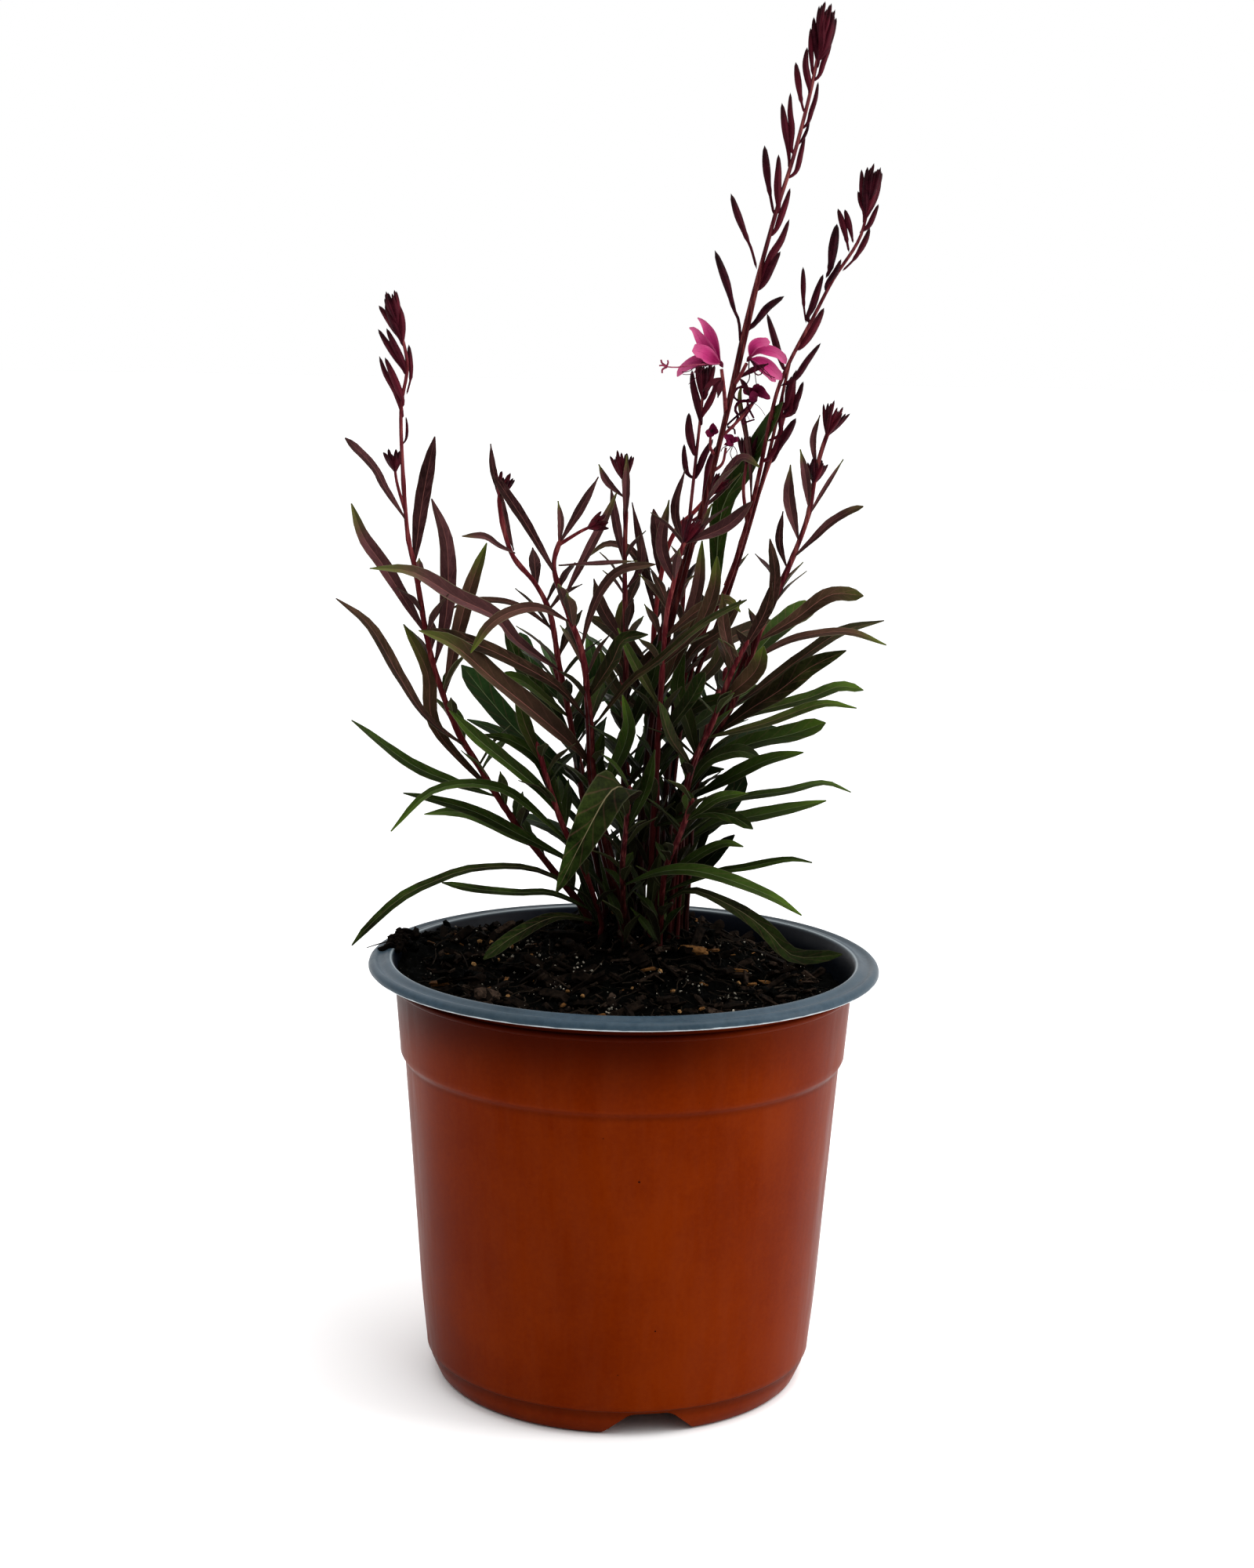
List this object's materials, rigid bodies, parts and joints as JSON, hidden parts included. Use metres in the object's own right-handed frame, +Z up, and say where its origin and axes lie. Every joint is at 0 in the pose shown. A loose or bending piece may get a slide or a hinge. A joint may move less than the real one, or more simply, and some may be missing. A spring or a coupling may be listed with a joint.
{
  "type": "potted gaura",
  "caption": "Gaura with slender red stems, narrow bronze-green leaves, bud spikes and pink blooms, growing in a two-tone round nursery pot of dark soil.",
  "frame": {"origin": "on the ground under the middle of the whole plant and pot, which is the pot's axis", "axes": "+Z up along the pot's axis, -Y towards the front, where the picture's viewer stands, +X to the viewer's right"},
  "size_m": [0.1752, 0.17, 0.4487],
  "materials": {
    "pot_plastic": "satin terracotta outside, slate grey-blue rim and inside, faint scuffs and pits",
    "soil": "rough moist peat and bark with pale specks",
    "bronze_foliage": "soft satin bronze-green to purple leaves, crimson stems and maroon buds",
    "green_foliage": "soft satin green leaves with a pale midrib",
    "pink_petal": "silky deep pink petals with fine veins",
    "withered_petal": "crumpled dark magenta",
    "pot_lining": "satin slate grey-blue rolled rim and inside of the pot",
    "red_stem": "matt crimson to burgundy bark, finely streaked",
    "maroon_bud": "matt dark maroon buds and bracts, finely ribbed",
    "bark_chips": "rough dark bark splinters with a few tan ones",
    "perlite": "pale porous grains"
  },
  "bodies": {
    "root": {"pot": "pot_plastic", "soil": "soil", "stem_tall_spike": "bronze_foliage", "stem_right_spike": "bronze_foliage", "stem_left_spike": "bronze_foliage", "stem_bud_spike": "bronze_foliage", "stem_red_arching": "bronze_foliage", "stem_front_right_tuft": "bronze_foliage", "stem_centre_tuft": "bronze_foliage", "stem_thick_left": "bronze_foliage", "stem_left_tuft": "bronze_foliage", "stem_right_leafy": "bronze_foliage", "stem_right_front": "bronze_foliage", "shoot_low_left": "bronze_foliage", "shoot_front_folded": "bronze_foliage", "shoot_low_right": "bronze_foliage", "shoot_back_left": "green_foliage", "shoot_back_right": "green_foliage", "shoot_back": "green_foliage", "bloom_left": "pink_petal", "bloom_right": "pink_petal", "bloom_withered_right": "withered_petal", "bloom_withered_left": "withered_petal", "bloom_withered_centre": "withered_petal"}
  },
  "joints": []
}
